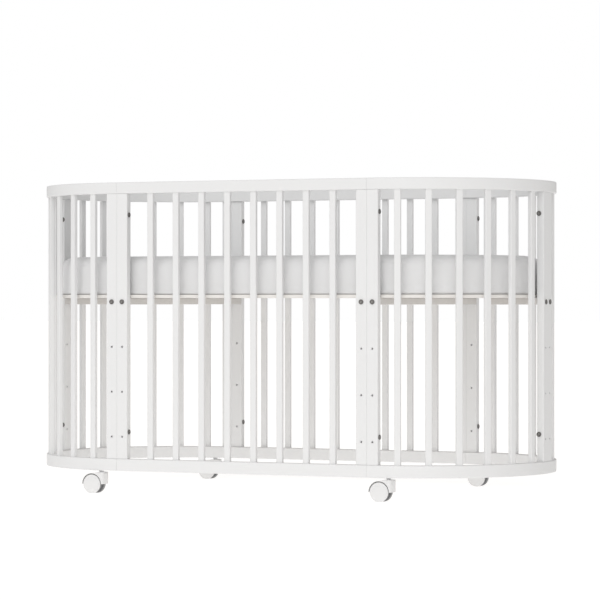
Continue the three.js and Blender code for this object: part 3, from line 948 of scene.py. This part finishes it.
def caster_hood(half_width, top, nose, axle, fender):
    """The housing, with its stem on the Z axis: a fender over both wheels and a block in front."""
    corner, plan_corner = NOSE_TOP_ROUND, NOSE_ROUND
    beyond = half_width + 0.001
    run, rise = HOOD_FLAT_END - axle[0], top - axle[1]
    tangent = math.atan2(rise, run) + math.acos(fender / math.hypot(run, rise))
    side = [(nose, axle[1])]
    side += arc_points((nose - corner, top - corner), corner, 0, QUARTER, 10)
    side.append((HOOD_FLAT_END, top))
    side += arc_points(axle, fender, tangent, math.pi, 40)
    back = axle[0] - fender - 0.001
    inner = half_width - plan_corner
    plan = [(back, -half_width)]
    plan += arc_points((nose - plan_corner, -inner), plan_corner, -QUARTER, 0, 14)
    plan += arc_points((nose - plan_corner, inner), plan_corner, 0, QUARTER, 14)
    plan.append((back, half_width))
    hood = prism("hood", side, lambda a, b, level: (a, level, b), half_width, -half_width)
    outline = prism("outline", plan, lambda a, b, level: (a, b, level),
                    axle[1] - 0.001, top + 0.001)
    combine(hood, [outline], "INTERSECT")
    well = fender - FENDER_WALL
    wells = [round_bar("well", well, axle, -beyond, -WEB_HALF, 96),
             round_bar("well", well, axle, WEB_HALF, beyond, 96)]
    combine(hood, wells, "DIFFERENCE")
    combine(hood, [round_bar("boss", BOSS_RADIUS, axle, -WEB_HALF, WEB_HALF, 40)], "UNION")
    rounding = hood.modifiers.new("rounding", "BEVEL")
    rounding.width = HOOD_EDGE
    rounding.segments = 3
    rounding.limit_method = "ANGLE"
    rounding.angle_limit = SHARP_HOLE
    hood.data = evaluated_mesh(hood)
    hood.modifiers.clear()
    hood.data.shade_smooth()
    hood.data.set_sharp_from_angle(angle=SHARP_BOARD)
    return hood


def lathe_y(name, profile, material):
    """A solid turned about the Y axis, from (radius, y) points that run towards -Y."""
    points, faces = loft([circle(radius, y, LATHE) for radius, y in profile])
    piece = new_piece(name, points, faces, [material])
    piece.data.set_sharp_from_angle(angle=SHARP_LATHE)
    return piece


def rounded_corner(radius, y, rounding):
    """Profile points round an outer corner that ends at y."""
    return [(radius - rounding + rounding * math.cos(a), y + rounding - rounding * math.sin(a))
            for a in (QUARTER * i / 4 for i in range(5))]


def wheel_disc(radius, width):
    """The white cover on a wheel's outer side, with a shallow ring in its face."""
    outer = -width
    profile = [(radius - 0.0012, outer + 0.0035), (radius - 0.0004, outer + 0.0033)]
    profile.append((radius, outer + 0.0026))
    profile += rounded_corner(radius, outer + 0.0004, 0.001)
    profile += [(radius * 0.86, outer + 0.0001), (radius * 0.84, outer + 0.0002)]
    profile += [(radius * 0.825, outer + 0.0006), (radius * 0.80, outer + 0.0006)]
    profile += [(radius * 0.78, outer + 0.0004), (radius * 0.5, outer + 0.0002), (0.0005, outer)]
    return lathe_y("disc", profile, WHITE_PLASTIC)


def wheel_tread(radius, width):
    """The grey wheel itself, its rim slightly crowned. Its grey is partly the tread's own colour
    and partly painted shade for the dark gap under the hood.
    """
    outer = -width + DISC_WIDTH
    rim = radius - 0.0005
    profile = [(0.0045, 0), (rim * 0.55, 0), (rim * 0.6, -0.0008), (rim * 0.82, -0.0008)]
    profile += [(rim * 0.86, 0), (rim - 0.0012, 0), (rim - 0.0004, -0.0003), (rim - 0.0001, -0.001)]
    profile += [(rim, outer / 2), (rim - 0.0001, outer + 0.0006), (rim - 0.0008, outer)]
    profile.append((rim - 0.002, outer - 0.0002))
    return lathe_y("tread", profile, TREAD_GREY_AND_SHADE)


def caster_stem(corner):
    """The steel pin with its collar, turned about the vertical. Returns its middle."""
    low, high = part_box(f"{corner}_caster_stem")
    hood_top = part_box(f"{corner}_caster_hood_and_axle")[1].z
    collar, pin = (high.x - low.x) / 2, PIN_RADIUS
    profile = [(pin - 0.0005, high.z), (pin, high.z - 0.0005), (pin, FRAME_BASE - 0.0006),
               (collar - 0.0006, FRAME_BASE - 0.0004), (collar, FRAME_BASE - 0.0009),
               (collar, hood_top + 0.0018), (collar - 0.0008, hood_top + 0.0012),
               (collar - 0.0008, hood_top + 0.0004), (pin, hood_top + 0.0003), (pin, low.z)]
    middle = (low + high) / 2
    made = lathe_y(f"{corner}_caster_pin", profile, BRIGHT_STEEL)
    upright = Matrix.Rotation(QUARTER, 4, "X")
    made.data.transform(Matrix.Translation((middle.x, middle.y, 0)) @ upright)
    settle(made, "frame", "caster_steel", f"{corner}_caster_stem")
    return middle


def casters():
    """The four casters. One hood and one wheel are made at the origin and copied into place."""
    stem = {corner: caster_stem(corner) for corner in CURVED_PANELS}
    first = next(iter(CURVED_PANELS))
    hood_low, hood_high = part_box(f"{first}_caster_hood_and_axle")
    wheel_low, wheel_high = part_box(f"{first}_caster_front_wheel")
    middle = (wheel_low + wheel_high) / 2 - stem[first]
    centre = (middle.x, (wheel_low.z + wheel_high.z) / 2)
    radius, width = (wheel_high.z - wheel_low.z) / 2, wheel_high.y - wheel_low.y
    hood = caster_hood((hood_high.y - hood_low.y) / 2, hood_high.z, hood_high.x - stem[first].x,
                       centre, stem[first].x + centre[0] - hood_low.x)
    disc, tread = wheel_disc(radius, width), wheel_tread(radius, width)
    for corner, place in stem.items():
        node = f"{corner}_caster_hood_and_axle"
        at_stem = Matrix.Translation((place.x, place.y, 0))
        settle(placed_copy(hood, f"{corner}_caster_hood", at_stem), f"{corner}_caster",
               "caster_plastic", node)
        for which, turn in (("front", 0), ("back", math.pi)):
            body = f"{corner}_caster_{which}_wheel"
            low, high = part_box(body)
            inner = high.y if which == "front" else low.y
            at_axle = turned(((low.x + high.x) / 2, inner, centre[1]), turn)
            settle(placed_copy(tread, f"{body}_tread", at_axle), body, "caster_wheel", body)
            settle(placed_copy(disc, f"{body}_disc", at_axle), body, "caster_wheel")
    for source in (hood, disc, tread):
        bpy.data.objects.remove(source)


casters()

# ---- floor, light and camera ----


def floor():
    """A pale floor that reaches past the view."""
    size = FLOOR_REACH
    mesh = bpy.data.meshes.new("floor")
    mesh.from_pydata([(-size, -size, 0), (size, -size, 0), (size, size, 0), (-size, size, 0)],
                     [], [(0, 1, 2, 3)])
    made, tree, shader = new_material("pale_floor")
    place = add(tree, "TexCoord").outputs["Object"]
    link(tree, spread(tree, noise(tree, place, 3), 0.75, 0.85), shader.inputs["Roughness"])
    shader.inputs["Base Color"].default_value = (0.46, 0.44, 0.42, 1)
    shader.inputs["Specular IOR Level"].default_value = 0.0
    shader.inputs["Emission Color"].default_value = (1, 1, 1, 1)
    shader.inputs["Emission Strength"].default_value = FLOOR_GLOW
    mesh.materials.append(made)
    piece = bpy.data.objects.new("floor", mesh)
    bpy.context.scene.collection.objects.link(piece)


def studio():
    """A white surround that lights softly, more from above, and a little warmer on the right."""
    world = bpy.data.worlds.new("studio")
    world.use_nodes = True
    tree = world.node_tree
    tree.nodes.clear()
    direction = add(tree, "TexCoord").outputs["Generated"]
    slope = add(tree, "VectorMath", {0: direction, 1: SURROUND_SLOPE}, operation="DOT_PRODUCT")
    level = add(tree, "Math", {0: slope.outputs["Value"], 1: SURROUND_LEVEL}, operation="ADD")
    right = add(tree, "SeparateXYZ", {"Vector": direction}).outputs["X"]
    to_right = add(tree, "MapRange", {"Value": right, "From Min": -1.0}).outputs["Result"]
    tint = tinted(tree, to_right, (1, 1, 1), (1, 0.985, 0.965))
    light = add(tree, "Background", {"Color": tint, "Strength": level.outputs[0]}).outputs[0]
    backdrop = add(tree, "Background", {"Color": (1, 1, 1, 1), "Strength": 1.0}).outputs[0]
    seen = add(tree, "LightPath").outputs["Is Camera Ray"]
    mixed = add(tree, "MixShader", {0: seen, 1: light, 2: backdrop}).outputs[0]
    link(tree, mixed, add(tree, "OutputWorld").inputs["Surface"])
    bpy.context.scene.world = world
    bpy.context.scene.view_settings.view_transform = "Standard"


def key_light():
    """A very large soft light in front of the crib and above it."""
    data = bpy.data.lights.new("key", "SUN")
    data.energy = KEY_STRENGTH * math.pi
    data.angle = KEY_ANGLE
    made = bpy.data.objects.new("key", data)
    made.rotation_euler = Vector(KEY_DIRECTION).to_track_quat("Z", "Y").to_euler()
    bpy.context.scene.collection.objects.link(made)


def camera():
    """The camera, level, at about the height of the mattress base."""
    data = bpy.data.cameras.new("camera")
    data.sensor_width = 36
    data.lens = CAMERA_LENS
    data.shift_y = CAMERA_SHIFT
    data.clip_start, data.clip_end = 0.1, 200
    made = bpy.data.objects.new("camera", data)
    made.location = CAMERA_PLACE
    made.rotation_euler = (QUARTER, 0, CAMERA_TURN)
    bpy.context.scene.collection.objects.link(made)
    bpy.context.scene.camera = made


floor()
studio()
key_light()
camera()
